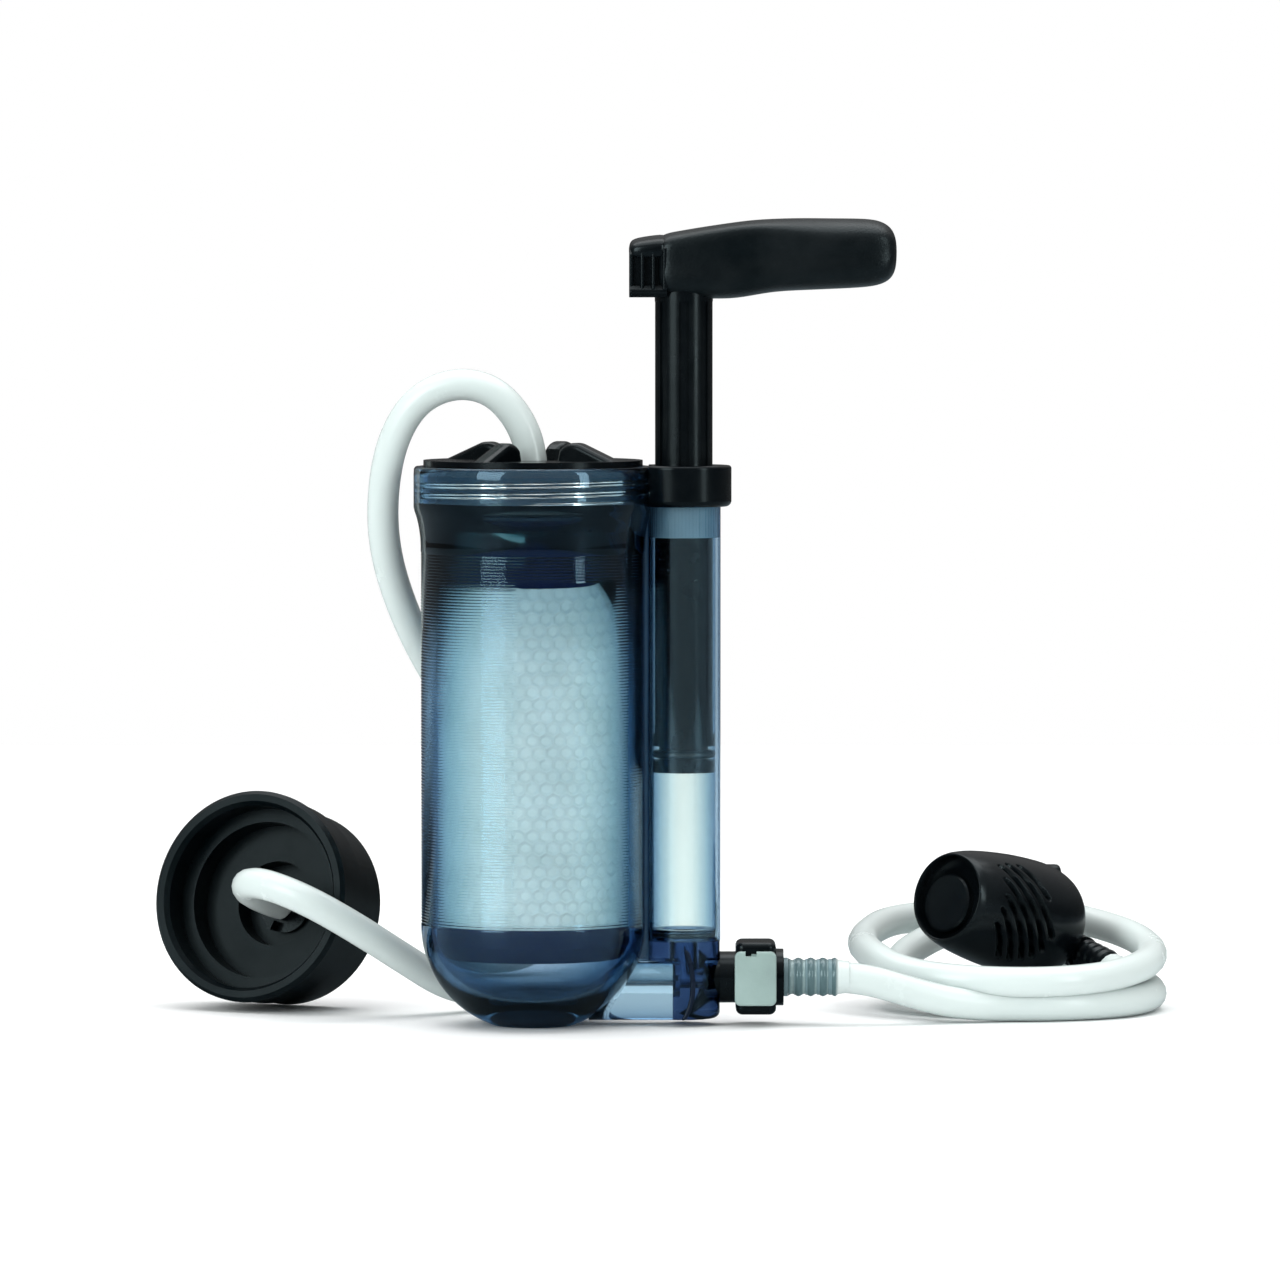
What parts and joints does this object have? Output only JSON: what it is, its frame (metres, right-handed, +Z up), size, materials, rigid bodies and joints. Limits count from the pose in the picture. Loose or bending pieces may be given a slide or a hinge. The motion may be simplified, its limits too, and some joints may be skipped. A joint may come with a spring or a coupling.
{
  "type": "pump water filter",
  "caption": "Upright hand-pumped water filter with a see-through cartridge housing, a side pump with a lever grip, a coiled intake hose with a strainer and a bottle adapter.",
  "frame": {"origin": "on the floor, under the filter housing's axis, at the centre of its flat foot", "axes": "+Z up along the housing's and the pump's axes, +X from the housing's axis to the pump's axis, +Y away from the side that the latch's thumb plate faces"},
  "size_m": [0.2616, 0.1165, 0.2045],
  "materials": {
    "smoke_plastic": "clear, ribbed outside",
    "clear_plastic": "clear",
    "navy_plastic": "glossy",
    "black_plastic": "satin",
    "grip_plastic": "speckled matte",
    "bush_plastic": "satin",
    "latch_plastic": "satin",
    "insert_plastic": "satin",
    "milky_hose": "milky, smooth",
    "black_rubber": "matte",
    "seal_rubber": "matte",
    "pleat_media": "matte",
    "white_mesh": "satin",
    "carbon": "porous",
    "steel": "drawn wire"
  },
  "bodies": {
    "filter_body": {"filter_housing": "smoke_plastic", "cartridge_bottom_cap": "navy_plastic", "cartridge_top_cap": "navy_plastic", "pleated_media": "pleat_media", "mesh_sleeve": "white_mesh", "carbon_core": "carbon", "core_tube": "white_mesh", "outlet_stem": "navy_plastic", "stem_o_ring": "seal_rubber", "pump_cylinder": "clear_plastic", "cylinder_collar": "black_plastic", "guide_bush": "bush_plastic", "valve_block": "navy_plastic", "block_o_ring": "seal_rubber", "base_duct": "clear_plastic", "inlet_valve": "seal_rubber", "outlet_valve": "seal_rubber", "coupler_body": "navy_plastic", "latch_spring": "steel", "outlet_hose": "milky_hose", "bottle_adapter": "black_rubber", "adapter_hub": "insert_plastic"},
    "cap_carrier": {"cap_seal": "seal_rubber"},
    "cap": {"housing_cap": "black_plastic"},
    "piston": {"piston_o_ring": "seal_rubber"},
    "plunger": {"pump_shaft": "black_plastic", "piston_head": "black_plastic", "handle_core": "black_plastic", "handle_grip": "grip_plastic"},
    "latch": {"coupler_latch": "latch_plastic"},
    "intake_line": {"coupler_insert": "insert_plastic", "insert_o_ring": "seal_rubber", "intake_hose": "milky_hose", "intake_coil": "milky_hose", "prefilter_housing": "black_plastic", "prefilter_disc": "black_plastic", "prefilter_screen": "steel", "prefilter_barb": "insert_plastic"}
  },
  "joints": [
    {"name": "pump_stroke", "type": "slide", "parent": "filter_body", "child": "piston", "axis": [0, 0, 1], "range_m": [-0.036, 0]},
    {"name": "pump_turn", "type": "hinge", "parent": "piston", "child": "plunger", "pos_m": [0.03805, 0, 0.1], "axis": [0, 0, 1], "range_deg": [-90, 90]},
    {"name": "cap_lift", "type": "slide", "parent": "filter_body", "child": "cap_carrier", "axis": [0, 0, 1], "range_m": [0, 0.0044]},
    {"name": "cap_turn", "type": "hinge", "parent": "cap_carrier", "child": "cap", "pos_m": [0, 0, 0.14], "axis": [0, 0, 1], "range_deg": [0, 630]},
    {"name": "latch_press", "type": "slide", "parent": "filter_body", "child": "latch", "axis": [0, 1, 0], "range_m": [0, 0.0015], "stiffness_N_per_m": 600, "deforming": ["latch_spring"]},
    {"name": "hose_release", "type": "slide", "parent": "filter_body", "child": "intake_line", "axis": [1, 0, 0], "range_m": [0, 0.02]}
  ],
  "couplings": [
    {"joint": "cap_lift", "follows": "cap_turn", "m_per_rad": 0.00039789}
  ]
}
